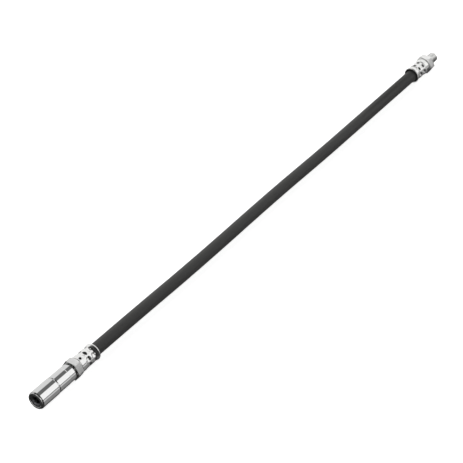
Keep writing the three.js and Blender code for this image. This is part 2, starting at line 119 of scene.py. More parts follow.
def rounded(corners, steps=4):
    """An outline of (x, radius, fillet) corners with each filleted corner drawn as a short curve."""
    points = []
    for i, (x, radius, fillet) in enumerate(corners):
        corner = Vector((x, radius))
        if not fillet:
            points.append(corner)
            continue
        before = Vector(corners[i - 1][:2]) - corner
        after = Vector(corners[(i + 1) % len(corners)][:2]) - corner
        reach = fillet / math.tan(before.angle(after) / 2)
        reach = min(reach, before.length / 2, after.length / 2)
        first = corner + before.normalized() * reach
        last = corner + after.normalized() * reach
        for step in range(steps + 1):
            t = step / steps
            points.append(first * (1 - t) ** 2 + corner * 2 * t * (1 - t) + last * t**2)
    return [tuple(point) for point in points]


def even_angles(count):
    """The angles of a ring of that many points."""
    return [2 * math.pi * i / count for i in range(count)]


# %% Skins and pieces
def join_rings(mesh, rings, looped=True, capped=False):
    """Adds quads between neighbouring rings. Looped joins the last to the first, capped closes both ends."""
    made = [[mesh.verts.new(point) for point in ring] for ring in rings]
    pairs = list(zip(made, made[1:]))
    if looped:
        pairs.append((made[-1], made[0]))
    for here, there in pairs:
        for i in range(len(here)):
            j = (i + 1) % len(here)
            mesh.faces.new((here[i], here[j], there[j], there[i]))
    if capped:
        mesh.faces.new(made[0])
        mesh.faces.new(made[-1])


SHARP_ANGLE = math.radians(38)
WELD = 1e-6  # metres: points closer than this are one point


def weld(mesh):
    """Joins the points that lie together and turns every face outwards."""
    bmesh.ops.remove_doubles(mesh, verts=mesh.verts, dist=WELD)
    bmesh.ops.recalc_face_normals(mesh, faces=mesh.faces)


def new_object(name, mesh):
    """Puts the built mesh in the scene as an object. The mesh is used up."""
    data = bpy.data.meshes.new(name)
    mesh.to_mesh(data)
    mesh.free()
    made = bpy.data.objects.new(name, data)
    bpy.context.scene.collection.objects.link(made)
    return made


def finish_piece(mesh, name, node, body, material):
    """Turns the built mesh into an object that stands for a CAD node and rides on its body."""
    weld(mesh)
    piece = new_object(name, mesh)
    data = piece.data
    data.polygons.foreach_set("use_smooth", [True] * len(data.polygons))
    data.set_sharp_from_angle(angle=SHARP_ANGLE)
    data.materials.append(material)
    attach(piece, body)
    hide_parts(node)
    print(f"{name}: {len(data.polygons)} faces")
    return piece


def flat_faces_stay_flat(piece):
    """Lets big faces decide the shading, so a fillet doesn't bend the reflection beside it."""
    weighting = piece.modifiers.new("weighted_normal", "WEIGHTED_NORMAL")
    weighting.keep_sharp = True
    return piece


# %% Turned pieces and the places of the CAD nodes
def turned(outline, segments=96):
    """A mesh of a closed outline spun round the axis."""
    mesh = bmesh.new()
    rings = [[ring_point(x, r, a) for a in even_angles(segments)] for x, r in rounded(outline)]
    join_rings(mesh, rings)
    return mesh


def station(node, end=0):
    """Where a CAD node starts, or with end=1 stops, along X, in millimetres."""
    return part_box(node)[end].x / MM


def span(node):
    """Where a CAD node starts and where it stops along X, in millimetres."""
    return station(node), station(node, 1)


def outer_radius(node):
    """How far a CAD node reaches from the axis, in millimetres."""
    return (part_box(node)[1].z - axis_height) / MM


# %% [markdown]
# ## How the finishes are made
# A finish is a few shader nodes: a colour, how smooth it is, and a pattern of the marks that its making
# left. Colours are written as they are picked on a screen, in sRGB, and turned to linear light by one
# function. The marks are placed by the piece's own position, so that they stay put when the piece moves.

# %% Colour and node helpers
def linear(colour):
    """A #rrggbb colour as linear light."""
    channels = [int(colour[i : i + 2], 16) / 255 for i in (1, 3, 5)]
    return [c / 12.92 if c <= 0.04045 else ((c + 0.055) / 1.055) ** 2.4 for c in channels] + [1.0]


def add_node(tree, kind, inputs=None, **settings):
    """Adds a node, sets what it is, and sets or links each named or numbered input."""
    made = tree.nodes.new(kind)
    for key, value in settings.items():
        setattr(made, key, value)
    for key, value in (inputs or {}).items():
        if isinstance(value, bpy.types.NodeSocket):
            tree.links.new(value, made.inputs[key])
        else:
            made.inputs[key].default_value = value
    return made


def new_finish(name, colour, settings):
    """A material with one Principled shader. Settings are the shader's own sockets."""
    material = bpy.data.materials.new(name)
    material.use_nodes = True
    material.node_tree.nodes.clear()
    sockets = {"Base Color": linear(colour), **settings}
    shader = add_node(material.node_tree, "ShaderNodeBsdfPrincipled", sockets)
    add_node(material.node_tree, "ShaderNodeOutputMaterial", {"Surface": shader.outputs[0]})
    return material, material.node_tree, shader


def own_position(tree):
    """The position on the piece in millimetres, with the hose's axis at height zero."""
    place = add_node(tree, "ShaderNodeTexCoord").outputs["Object"]
    axis = (0, 0, axis_height)
    centred = add_node(tree, "ShaderNodeVectorMath", {0: place, 1: axis}, operation="SUBTRACT").outputs[0]
    return add_node(tree, "ShaderNodeVectorMath", {0: centred, "Scale": 1 / MM}, operation="SCALE")


def lathe_station(tree, place):
    """One number that grows along the side of a turned piece and outwards across its faces."""
    parts = add_node(tree, "ShaderNodeSeparateXYZ", {0: place}).outputs
    across = add_node(tree, "ShaderNodeCombineXYZ", {1: parts[1], 2: parts[2]}).outputs[0]
    radius = add_node(tree, "ShaderNodeVectorMath", {0: across}, operation="LENGTH").outputs["Value"]
    return add_node(tree, "ShaderNodeMath", {0: parts[0], 1: radius}, operation="ADD").outputs[0]


# %% [markdown]
# ### Chrome plate on turned steel
# The coupler's two shells are turned, polished and chrome plated. Chrome is a neutral, light mirror. What
# keeps it from looking perfect is faint: the tool's circles under the plate, and cloudy patches where it
# was wiped. Real tool marks are 0.05 mm apart. They are drawn 0.35 mm apart, because finer ones wouldn't
# show. The clouds are about 8 mm wide.

# %% Chrome
TOOL_MARK_SPACING = 0.35
CLOUD_SPACING = 8.33
NOISE_LOW, NOISE_HIGH = 0.3, 0.7  # nearly all of a noise lies between these


def turned_metal(name, colour, roughness, mark_depth, cloudiness):
    """A turned metal surface: fine rings from the tool, and patches that are a little less smooth."""
    material, tree, shader = new_finish(name, colour, {"Metallic": 1.0})
    place = own_position(tree).outputs[0]
    along = lathe_station(tree, place)
    marks = add_node(
        tree,
        "ShaderNodeTexNoise",
        {"W": along, "Scale": 1 / TOOL_MARK_SPACING, "Detail": 2.0},
        noise_dimensions="1D",
    )
    cloud_settings = {"Vector": place, "Scale": 1 / CLOUD_SPACING, "Detail": 3.0}
    clouds = add_node(tree, "ShaderNodeTexNoise", cloud_settings).outputs[0]
    rough = add_node(
        tree,
        "ShaderNodeMapRange",
        {"Value": clouds, 1: NOISE_LOW, 2: NOISE_HIGH, 3: roughness, 4: roughness + cloudiness},
    )
    tree.links.new(rough.outputs[0], shader.inputs["Roughness"])
    bump = add_node(
        tree,
        "ShaderNodeBump",
        {"Height": marks.outputs[0], "Strength": 1.0, "Distance": mark_depth * MM},
    )
    tree.links.new(bump.outputs[0], shader.inputs["Normal"])
    return material


chrome = turned_metal("chrome_plated_steel", "#E8E8E8", 0.04, 0.0012, 0.04)

# %% [markdown]
# ### Bright zinc plate
# The hexagons, threads and crimped ferrules are bright zinc. It is nearly as light as chrome, but softer:
# the passivated surface is a little milky, and small scuffs from the crimping tool and the tumbling barrel
# show as specks of a rougher finish.

# %% Zinc
zinc = turned_metal("bright_zinc_plated_steel", "#E6E6E5", 0.08, 0.0018, 0.08)

# %% [markdown]
# ### Bare and blackened steel
# The jaws are hardened and left black from the quench. The piston, seat and ball are bare turned steel, and
# the springs are drawn wire. These sit in the dark of the coupler, so on top of their own tone their colours
# are painted darker, as painted shade, and they are also made rougher. The gasket behind the valve's seat is
# soft annealed copper, a warm red that dulls where it was handled.

# %% Steels and copper
# The jaws, piston, seat, ball and springs get base colours painted darker than their metals, as painted
# shade of the coupler's inside.
black_steel_with_painted_shade = turned_metal("quench_black_steel_with_painted_shade", "#6E6E71", 0.3, 0.004, 0.12)
bare_steel_with_painted_shade = turned_metal("turned_steel_with_painted_shade", "#A9A9A7", 0.22, 0.004, 0.1)
coil_wire_with_painted_shade = turned_metal("spring_wire_with_painted_shade", "#88898C", 0.28, 0.003, 0.1)
copper = turned_metal("annealed_copper", "#D08A63", 0.3, 0.003, 0.12)

# %% [markdown]
# ### Black rubber
# The cover of the hose is extruded nitrile rubber. It is not black paint: it is a very dark warm grey, with
# a broad soft sheen. The die draws faint lines along it, 0.8 mm apart, the cure leaves a fine skin like
# orange peel, and handling leaves pale patches, some 30 mm long. The skin's grain is about 0.2 mm in
# reality and is drawn at 0.5 mm, because a finer one wouldn't show.

# %% Rubbers
PATCH_SPACING = 28.6
DIE_LINE_SPACING = 0.833
DIE_LINE_STRETCH = (0.02, 1, 1)  # drawn out fifty times along the hose
def rubber(name, colour, pale, roughness, grain, grain_depth):
    """Extruded or moulded rubber: a grained skin, drawn lines along X, and paler patches from handling."""
    material, tree, shader = new_finish(name, colour, {"IOR": 1.5})
    place = own_position(tree).outputs[0]
    patch_settings = {"Vector": place, "Scale": 1 / PATCH_SPACING, "Detail": 4.0}
    patches = add_node(tree, "ShaderNodeTexNoise", patch_settings).outputs[0]
    shade = add_node(tree, "ShaderNodeValToRGB", {"Fac": patches})
    shade.color_ramp.elements[0].position = 0.35
    shade.color_ramp.elements[0].color = linear(colour)
    shade.color_ramp.elements[1].position = 0.75
    shade.color_ramp.elements[1].color = linear(pale)
    tree.links.new(shade.outputs[0], shader.inputs["Base Color"])
    rough = add_node(
        tree,
        "ShaderNodeMapRange",
        {"Value": patches, 1: NOISE_LOW, 2: NOISE_HIGH, 3: roughness - 0.05, 4: roughness + 0.07},
    )
    tree.links.new(rough.outputs[0], shader.inputs["Roughness"])
    skin = add_node(tree, "ShaderNodeTexNoise", {"Vector": place, "Scale": 1 / grain, "Detail": 2.0})
    drawn_out = add_node(tree, "ShaderNodeVectorMath", {0: place, 1: DIE_LINE_STRETCH}, operation="MULTIPLY")
    line_settings = {"Vector": drawn_out.outputs[0], "Scale": 1 / DIE_LINE_SPACING, "Detail": 2.0}
    lines = add_node(tree, "ShaderNodeTexNoise", line_settings)
    height = add_node(tree, "ShaderNodeMath", {0: skin.outputs[0], 1: lines.outputs[0]}, operation="ADD")
    bump = add_node(
        tree,
        "ShaderNodeBump",
        {"Height": height.outputs[0], "Strength": 1.0, "Distance": grain_depth * MM},
    )
    tree.links.new(bump.outputs[0], shader.inputs["Normal"])
    return material


cover_rubber = rubber("extruded_nitrile_cover", "#292928", "#323230", 0.5, 0.5, 0.02)
liner_rubber = rubber("smooth_nitrile_liner", "#1B1B1B", "#222222", 0.45, 0.6, 0.01)
seal_rubber = rubber("moulded_nitrile_seal", "#161616", "#1E1E1E", 0.4, 0.4, 0.01)

# %% [markdown]
# ### The wire braid
# Under the cover, bright high-tensile wires cross at about 54 degrees to the axis, the angle at which a
# hose under pressure neither grows nor shrinks. Each band of wires is about 1.5 mm wide. Two sets of
# slanted stripes, one wound each way, make the plait.

# %% Braid
BRAID_ANGLE = math.radians(54)
BRAID_BAND = 1.5
BRAID_RELIEF = 0.15


def braided_wire(name, colour, gap_colour, radius):
    """Two sets of stripes wound in opposite directions round a tube of that radius."""
    material, tree, shader = new_finish(name, colour, {"Metallic": 1.0, "Roughness": 0.35})
    place = own_position(tree).outputs[0]
    parts = add_node(tree, "ShaderNodeSeparateXYZ", {0: place}).outputs
    around = add_node(tree, "ShaderNodeMath", {0: parts[2], 1: parts[1]}, operation="ARCTAN2").outputs[0]
    arc = add_node(tree, "ShaderNodeMath", {0: around, 1: radius}, operation="MULTIPLY").outputs[0]
    heights = []
    for hand in (1, -1):
        lean = add_node(
            tree,
            "ShaderNodeMath",
            {0: parts[0], 1: math.tan(BRAID_ANGLE) * hand, 2: arc},
            operation="MULTIPLY_ADD",
        ).outputs[0]
        phase = add_node(
            tree,
            "ShaderNodeMath",
            {0: lean, 1: 2 * math.pi * math.cos(BRAID_ANGLE) / BRAID_BAND},
            operation="MULTIPLY",
        ).outputs[0]
        heights.append(add_node(tree, "ShaderNodeMath", {0: phase}, operation="SINE").outputs[0])
    plait = add_node(tree, "ShaderNodeMath", {0: heights[0], 1: heights[1]}, operation="MAXIMUM").outputs[0]
    shade = add_node(tree, "ShaderNodeValToRGB", {"Fac": plait})
    shade.color_ramp.elements[0].color = linear(gap_colour)
    shade.color_ramp.elements[1].position = 0.6
    shade.color_ramp.elements[1].color = linear(colour)
    tree.links.new(shade.outputs[0], shader.inputs["Base Color"])
    bump_settings = {"Height": plait, "Strength": 1.0, "Distance": BRAID_RELIEF * MM}
    bump = add_node(tree, "ShaderNodeBump", bump_settings)
    tree.links.new(bump.outputs[0], shader.inputs["Normal"])
    return material


braid_radius = outer_radius("hose_braid")
wire_braid = braided_wire("braided_steel_wire", "#B9B5AA", "#4A463F", braid_radius)

# %% [markdown]
# ## The hose
# The hose is a real length of rubber tube, so it comes first. It runs straight from one ferrule to the
# other, apart from a faint sag and the faint wave that a hose keeps from lying coiled in its packet. The
# wave is a list of sideways offsets at even steps, and a smooth curve goes through them. The hose is an
# extruded wall with a bore, so it is made as rings along that curve, out over the cover and back through
# the bore.

# %% Route of the hose
HOSE_WAVE = [
    0, 0, 0, -0.15, -0.55, -0.65, -0.45, -0.05, 0.2, 0.15, -0.25, -0.5, -0.35, -0.2, -0.2, -0.2, 0,
]
HOSE_SAG = 0.75  # how far the middle hangs below the ends
HOSE_SAG_SPAN = 0.25  # share of the hose over which it comes down to that
COVER_WALL = 0.9
hose_start, hose_end = span("hose_cover")
hose_radius = outer_radius("hose_cover")


def wave_at(share):
    """The hose's sideways offset at a share of its length, on a smooth curve through HOSE_WAVE."""
    place = share * (len(HOSE_WAVE) - 1)
    i = min(int(place), len(HOSE_WAVE) - 2)
    t = place - i
    p1, p2 = HOSE_WAVE[i], HOSE_WAVE[i + 1]
    p0 = HOSE_WAVE[i - 1] if i > 0 else 2 * p1 - p2
    p3 = HOSE_WAVE[i + 2] if i + 2 < len(HOSE_WAVE) else 2 * p2 - p1
    bend = (2 * p0 - 5 * p1 + 4 * p2 - p3) * t**2 + (3 * p1 - p0 - 3 * p2 + p3) * t**3
    return p1 + ((p2 - p0) * t + bend) / 2


def sag_at(share):
    """How far the hose hangs below the straight line between its ends."""
    t = min(1, min(share, 1 - share) / HOSE_SAG_SPAN)
    return HOSE_SAG * t * t * (3 - 2 * t)


def hose_centre(share):
    """The middle of the hose at a share of its length, in millimetres from the axis."""
    return Vector((hose_start + (hose_end - hose_start) * share, wave_at(share), -sag_at(share)))


def from_axis(point):
    """A point in millimetres from the axis, as a point of the frame."""
    return Vector((point.x * MM, point.y * MM, axis_height + point.z * MM))


# %% Layers of the hose
LOOK_ALONG = 0.002  # share of the hose over which its direction is taken
CUT_EDGE = 0.15
COVER_SIDES, COVER_STEPS = 48, 220
INNER_SIDES, INNER_STEPS = 32, 120


def hose_ring(share, radius, sides):
    """A ring of the hose, square to its route."""
    ahead = hose_centre(min(1, share + LOOK_ALONG)) - hose_centre(max(0, share - LOOK_ALONG))
    aside = Vector((-ahead.y, ahead.x, 0)).normalized()
    above = ahead.cross(aside).normalized()
    centre = hose_centre(share)
    spokes = [aside * math.cos(angle) + above * math.sin(angle) for angle in even_angles(sides)]
    return [from_axis(centre + spoke * radius) for spoke in spokes]


def hose_layer(outer, inner, sides, steps):
    """A tube along the route with small chamfers at its cut ends."""
    margin = CUT_EDGE / (hose_end - hose_start)
    shares = [margin + (1 - 2 * margin) * i / steps for i in range(steps + 1)]
    rings = [hose_ring(0, inner + CUT_EDGE, sides), hose_ring(0, outer - CUT_EDGE, sides)]
    rings += [hose_ring(share, outer, sides) for share in shares]
    rings += [hose_ring(1, outer - CUT_EDGE, sides), hose_ring(1, inner + CUT_EDGE, sides)]
    rings += [hose_ring(1 - share, inner, sides) for share in shares]
    mesh = bmesh.new()
    join_rings(mesh, rings)
    return mesh


hose_cover = finish_piece(
    hose_layer(hose_radius, hose_radius - COVER_WALL, COVER_SIDES, COVER_STEPS),
    "hose_cover_rubber",
    "hose_cover",
    "hose",
    cover_rubber,
)

# %% [markdown]
# Under the cover lie the braid and the inner liner. They can't be seen, but a part that is cut open or
# taken apart should still have them.

# %% Braid and liner
HOSE_BORE_RADIUS = 2.5
liner_radius = outer_radius("hose_liner")
hose_braid = finish_piece(
    hose_layer(braid_radius, liner_radius + CLEARANCE, INNER_SIDES, INNER_STEPS),
    "hose_wire_braid",
    "hose_braid",
    "hose",
    wire_braid,
)
hose_liner = finish_piece(
    hose_layer(liner_radius, HOSE_BORE_RADIUS, INNER_SIDES, INNER_STEPS),
    "hose_inner_tube",
    "hose_liner",
    "hose",
    liner_rubber,
)

# %% [markdown]

# %% [markdown]
# ## The coupler's shells
# The nose sleeve is a turned tube. Its front is chamfered outside, and inside it has the long shallow cone
# that the jaws slide along. The body behind it is stepped: a spigot that goes into the sleeve, a straight
# cylinder, and a slightly smaller one near the hexagon. Both are plain outlines with small fillets, spun.

# %% Nose sleeve
SHELL_SEGMENTS = 192
NOSE_OPENING_RADIUS = 5.75
NOSE_CHAMFER_LENGTH = 1.3
NOSE_CHAMFER_DEPTH = 0.75
CONE_ANGLE = math.radians(10)
CONE_SLOPE = math.tan(CONE_ANGLE)
CONE_LENGTH = 8.5
sleeve_start, seam = span("nose_sleeve")
sleeve_length = seam - sleeve_start
sleeve_radius = outer_radius("nose_sleeve")
sleeve_bore = NOSE_OPENING_RADIUS + CONE_LENGTH * CONE_SLOPE
sleeve_outline = [
    (0, NOSE_OPENING_RADIUS, 0.4),
    (0, sleeve_radius - NOSE_CHAMFER_DEPTH, 0.5),
    (NOSE_CHAMFER_LENGTH, sleeve_radius, 0.25),
    (sleeve_length, sleeve_radius, 0.5),
    (sleeve_length, sleeve_bore, 0.1),
    (CONE_LENGTH, sleeve_bore, 0),
]
nose_sleeve = finish_piece(
    turned([(sleeve_start + x, r, fillet) for x, r, fillet in sleeve_outline], SHELL_SEGMENTS),
    "nose_sleeve_shell",
    "nose_sleeve",
    "nose_sleeve",
    chrome,
)
flat_faces_stay_flat(nose_sleeve)

# %% Coupler body
BODY_FRONT_CHAMFER = (0.7, 0.5)  # its length and depth
BODY_STEP = 14.6  # behind the seam
BODY_STEP_LENGTH = 0.5
BODY_REAR_RADIUS = 7.9
BODY_REAR_CHAMFER = 0.9
STEM_BORE = 3.7
PASSAGE = 1.3
PASSAGE_LENGTH = 1.6
CHAMBER_RADIUS = 3.2
THREAD_BORE = 5.3
THREAD_CHAMFER = 0.6
PISTON_TRAVEL = 2.0
body_start, body_end = span("coupler_body")
body_radius = outer_radius("coupler_body")
body_front = seam + CLEARANCE
spigot_radius = sleeve_bore - CLEARANCE
stem_bore_end = station("piston", 1) + PISTON_TRAVEL + CLEARANCE
chamber_start = stem_bore_end + PASSAGE_LENGTH
thread_bore_start = station("coupler_gasket") - CLEARANCE
body_outline = [
    (body_start, STEM_BORE, 0.2),
    (body_start, spigot_radius, 0.3),
    (body_front, spigot_radius, 0),
    (body_front, body_radius - BODY_FRONT_CHAMFER[1], 0.2),
    (body_front + BODY_FRONT_CHAMFER[0], body_radius, 0.3),
    (seam + BODY_STEP, body_radius, 0.2),
    (seam + BODY_STEP + BODY_STEP_LENGTH, BODY_REAR_RADIUS, 0.2),
    (body_end - BODY_REAR_CHAMFER, BODY_REAR_RADIUS, 0.2),
    (body_end, BODY_REAR_RADIUS - BODY_REAR_CHAMFER, 0.15),
    (body_end, THREAD_BORE + THREAD_CHAMFER, 0.1),
    (body_end - THREAD_CHAMFER, THREAD_BORE, 0),
    (thread_bore_start, THREAD_BORE, 0),
    (thread_bore_start, CHAMBER_RADIUS, 0),
    (chamber_start, CHAMBER_RADIUS, 0),
    (chamber_start, PASSAGE, 0),
    (stem_bore_end, PASSAGE, 0),
    (stem_bore_end, STEM_BORE, 0),
]
coupler_body = finish_piece(
    turned(body_outline, SHELL_SEGMENTS), "coupler_body_shell", "coupler_body", "hose", chrome
)
flat_faces_stay_flat(coupler_body)

# %% [markdown]
# ## The jaws
# The four jaws are made as one hardened cone ring and then sawn apart, so each is a quarter of a turn with
# a slit of constant width on both sides. The outline is therefore not spun all the way: it is swept through
# a quarter turn, and each of its points stops where the flat side of the slit is, which is a smaller angle
# the nearer the point is to the axis.

# %% Four jaws
JAW_SLIT = 0.6
JAW_LIP = 3.2
JAW_LEAD_IN = (1.1, 1.15)  # its length and depth
JAW_LIP_END = 2.1
JAW_POCKET = 3.5
JAW_POCKET_START = 2.6
JAW_STEPS = 40
jaw_start, jaw_end = span("jaw_1")


def jaw_outer(x):
    """The jaws' outer radius at a station: a cone that keeps its clearance to the sleeve's."""
    return NOSE_OPENING_RADIUS + (x - sleeve_start) * CONE_SLOPE - CLEARANCE / math.cos(CONE_ANGLE)


jaw_outline = rounded(
    [
        (jaw_start, jaw_outer(jaw_start), 0.25),
        (jaw_start, JAW_LIP + JAW_LEAD_IN[1], 0.3),
        (jaw_start + JAW_LEAD_IN[0], JAW_LIP, 0.2),
        (jaw_start + JAW_LIP_END, JAW_LIP, 0.2),
        (jaw_start + JAW_POCKET_START, JAW_POCKET, 0),
        (jaw_end, JAW_POCKET, 0),
        (jaw_end, jaw_outer(jaw_end), 0.2),
    ]
)


def jaw_section(middle, share):
    """The outline of a jaw at a share of its half turn, from -1 at one slit to 1 at the other."""
    half_turns = [math.pi / 4 - math.asin(JAW_SLIT / 2 / r) for x, r in jaw_outline]
    return [ring_point(x, r, middle + share * half) for (x, r), half in zip(jaw_outline, half_turns)]


for number in range(1, 5):
    node = f"jaw_{number}"
    middle = math.radians((number - 2) * 90)
    sections = [jaw_section(middle, 2 * step / JAW_STEPS - 1) for step in range(JAW_STEPS + 1)]
    jaw_mesh = bmesh.new()
    join_rings(jaw_mesh, sections, looped=False, capped=True)
    jaw = finish_piece(jaw_mesh, f"{node}_ground", node, node, black_steel_with_painted_shade)
    flat_faces_stay_flat(jaw)

# %% [markdown]
# ## What is inside the coupler
# Behind the jaws a sprung piston presses a rubber seal against the nipple, and an O-ring keeps the grease
# from leaking past the piston's stem. Further back a ball on a seat lets grease out and none back. All of
# it is turned, so each piece is one more outline, except the two springs.

# %% Piston
FLANGE_THICKNESS = 1.7
SOCKET_RADIUS = 2.3
SOCKET_DEPTH = 1.2
STEM_RADIUS = 3.4
STEM_END = 0.4
GROOVE_RADIUS = 2.46
GROOVE_WIDTH = 1.3
piston_start, piston_end = span("piston")
flange_radius = outer_radius("piston")
flange_end = piston_start + FLANGE_THICKNESS
groove_end = piston_end - STEM_END
groove_start = groove_end - GROOVE_WIDTH
piston_outline = [
    (piston_start, SOCKET_RADIUS, 0.1),
    (piston_start, flange_radius, 0.15),
    (flange_end, flange_radius, 0.15),
    (flange_end, STEM_RADIUS, 0.1),
    (groove_start, STEM_RADIUS, 0.05),
    (groove_start, GROOVE_RADIUS, 0.1),
    (groove_end, GROOVE_RADIUS, 0.1),
    (groove_end, STEM_RADIUS, 0.05),
    (piston_end, STEM_RADIUS, 0.1),
    (piston_end, PASSAGE, 0.1),
    (piston_start + SOCKET_DEPTH, PASSAGE, 0),
    (piston_start + SOCKET_DEPTH, SOCKET_RADIUS, 0),
]
piston_mesh = turned(piston_outline)
piston = finish_piece(piston_mesh, "piston_turned", "piston", "piston", bare_steel_with_painted_shade)
flat_faces_stay_flat(piston)

# %% [markdown]
# The nozzle seal is a moulded rubber plug. Its face is dished, so that it closes on the nipple's round head,
# and its tail sits in the piston's socket. The O-ring is a ring of round section in the stem's groove.

# %% Seals of the piston
SEAL_DISH = 0.5
SEAL_HOLE = 1.0
SEAL_TAIL_LENGTH = 1.2
SEAL_TAIL_RADIUS = 2.0
O_RING_SIDES = 24
seal_start, seal_end = span("nozzle_seal")
seal_radius = outer_radius("nozzle_seal")
seal_outline = [
    (seal_start + SEAL_DISH, SEAL_HOLE, 0.1),
    (seal_start, seal_radius - SEAL_DISH, 0.2),
    (seal_start, seal_radius, 0.2),
    (seal_end - SEAL_TAIL_LENGTH, seal_radius, 0.2),
    (seal_end - SEAL_TAIL_LENGTH, SEAL_TAIL_RADIUS, 0.1),
    (seal_end, SEAL_TAIL_RADIUS, 0.2),
    (seal_end, SEAL_HOLE, 0.1),
]
seal_mesh = turned(seal_outline)
finish_piece(seal_mesh, "nozzle_seal_moulded", "nozzle_seal", "piston", seal_rubber)

ring_start, ring_end = span("piston_o_ring")
ring_section = (ring_end - ring_start) / 2
ring_middle = (ring_end + ring_start) / 2
ring_radius = outer_radius("piston_o_ring") - ring_section
ring_outline = [
    (ring_middle + ring_section * math.cos(a), ring_radius + ring_section * math.sin(a), 0)
    for a in even_angles(O_RING_SIDES)
]
o_ring_mesh = turned(ring_outline)
finish_piece(o_ring_mesh, "piston_o_ring_moulded", "piston_o_ring", "piston", seal_rubber)

# %% [markdown]
# The valve's seat is a steel ring whose bore opens towards the ball in a cone, on which the ball closes. The
# gasket behind it is a flat copper washer that the nipple's thread squeezes.

# %% Seat and gasket
SEAT_CONE_RADIUS = 2.3
SEAT_CONE_LENGTH = 1.2
SEAT_BORE = 1.2
GASKET_BORE = 2.6
seat_start, seat_end = span("valve_seat")
seat_radius = outer_radius("valve_seat")
seat_outline = [
    (seat_start, SEAT_CONE_RADIUS, 0.05),
    (seat_start, seat_radius, 0.15),
    (seat_end, seat_radius, 0.15),
    (seat_end, SEAT_BORE, 0.1),
    (seat_start + SEAT_CONE_LENGTH, SEAT_BORE, 0.05),
]
seat_mesh = turned(seat_outline)
seat = finish_piece(seat_mesh, "valve_seat_turned", "valve_seat", "hose", bare_steel_with_painted_shade)
flat_faces_stay_flat(seat)

gasket_start, gasket_end = span("coupler_gasket")
gasket_radius = outer_radius("coupler_gasket")
gasket_outline = [
    (gasket_start, GASKET_BORE, 0.1),
    (gasket_start, gasket_radius, 0.2),
    (gasket_end, gasket_radius, 0.2),
    (gasket_end, GASKET_BORE, 0.1),
]
finish_piece(turned(gasket_outline), "coupler_gasket_ring", "coupler_gasket", "hose", copper)

# %% [markdown]
# A check valve's ball is ground and lapped until it is round to a thousandth of a millimetre. Rings that
# shrink to the two poles make it, and the weld in finish_piece closes the poles.

# %% Ball
BALL_RINGS = 32
BALL_SIDES = 48
ball_start, ball_end = span("check_ball")
ball_radius = (ball_end - ball_start) / 2
ball_middle = (ball_end + ball_start) / 2
ball_mesh = bmesh.new()
ball_rings = []
for row in range(BALL_RINGS + 1):
    lean = math.pi * row / BALL_RINGS
    x, r = ball_middle - ball_radius * math.cos(lean), ball_radius * math.sin(lean)
    ball_rings.append([ring_point(x, r, a) for a in even_angles(BALL_SIDES)])
join_rings(ball_mesh, ball_rings, looped=False)
finish_piece(ball_mesh, "check_ball_lapped", "check_ball", "check_ball", bare_steel_with_painted_shade)

# %% [markdown]
# A coil spring is wire, so a small ring is carried along a helix. A compression spring is closed at its
# ends: half a turn there lies nearly wire against wire, and only the turns between are open.

# %% Springs
CLOSED_TURN = 0.5
CLOSED_PITCH = 1.04  # in wire diameters, so that closed turns just clear each other


def coil(start, end, wire, radius, turns, sides=14, steps_per_turn=36):
    """A compression spring from start to end, wire included, with half a closed turn at both ends."""
    open_turns = turns - 2 * CLOSED_TURN
    closed_rise = CLOSED_TURN * wire * CLOSED_PITCH
    open_rise = end - start - wire - 2 * closed_rise
    wire_mesh = bmesh.new()
    count = round(turns * steps_per_turn)
    rings = []
    for step in range(count + 1):
        turn = turns * step / count
        opened = min(max(turn - CLOSED_TURN, 0), open_turns)
        x = start + wire / 2 + (turn - opened) * wire * CLOSED_PITCH + open_rise * opened / open_turns
        angle = 2 * math.pi * turn
        ring = []
        for lean in even_angles(sides):
            out = radius + wire / 2 * math.cos(lean)
            ring.append(ring_point(x + wire / 2 * math.sin(lean), out, angle))
        rings.append(ring)
    join_rings(wire_mesh, rings, looped=False, capped=True)
    return wire_mesh


jaw_spring = finish_piece(
    coil(*span("jaw_spring"), wire=0.9, radius=5.3, turns=3),
    "jaw_spring_coiled",
    "jaw_spring",
    "hose",
    coil_wire_with_painted_shade,
)
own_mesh(jaw_spring)

check_spring = finish_piece(
    coil(*span("check_spring"), wire=0.5, radius=1.5, turns=3.5),
    "check_spring_coiled",
    "check_spring",
    "hose",
    coil_wire_with_painted_shade,
)
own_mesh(check_spring)

# %% [markdown]
# ## The crimped ferrules
# A ferrule starts as a plain steel tube. A ring of eight punches dents it twice over, and the dents squeeze
# the hose onto the barbed tail inside. The tube's mouth is left uncrimped, so it flares out like a bell. The
# outline is the undented tube, and every point of it is lowered by the dents it lies in. A dent has a small
# flat bottom and steep sides, because the punch is blunt and pressed in hard. Near the hexagon a small hole
# is drilled through the wall, through which the end of the hose can be seen to be home.

# %% Ferrule sizes
FERRULE_BORE = 6.1
FERRULE_EYE = 4.3
FERRULE_FLOOR = 1.5  # thickness of the end round the nipple's neck
FERRULE_EDGE = 7.2
FERRULE_SEGMENTS = 208
BAND_RADIUS = 7.88
RIB_RADIUS = 7.6
MOUTH_RADIUS = 6.8
DENTS_PER_ROW = 8
DENT_TURN = math.radians(8.5)
DENT_ROWS = [9.6, 16.4]  # from the hexagon side
DENT_RADIUS = 2.85
DENT_FLAT = 0.5  # radius of the flat bottom
DENT_DEPTH = 1.05
SIGHT_HOLE_PLACE = 3.3
SIGHT_HOLE_RADIUS = 1.3
ferrule_length = station("front_ferrule", 1) - station("front_ferrule")
ferrule_outline = rounded(
    [
        (0, FERRULE_EDGE, 0.2),
        (0.5, BAND_RADIUS, 0.4),
        (5.6, BAND_RADIUS, 0.6),
        (6.8, RIB_RADIUS, 0.6),
        (16.8, RIB_RADIUS, 0.6),
        (17.8, FERRULE_EDGE, 1.2),
        (ferrule_length - 0.9, 8.12, 0.6),
        (ferrule_length, 7.95, 0.35),
        (ferrule_length, MOUTH_RADIUS, 0.3),
    ]
)
inner_outline = rounded(
    [
        (ferrule_length, MOUTH_RADIUS, 0.3),
        (ferrule_length - 2.5, FERRULE_BORE, 1),
        (FERRULE_FLOOR, FERRULE_BORE, 0),
        (FERRULE_FLOOR, FERRULE_EYE, 0),
        (0, FERRULE_EYE, 0.1),
        (0, FERRULE_EDGE, 0),
    ]
)


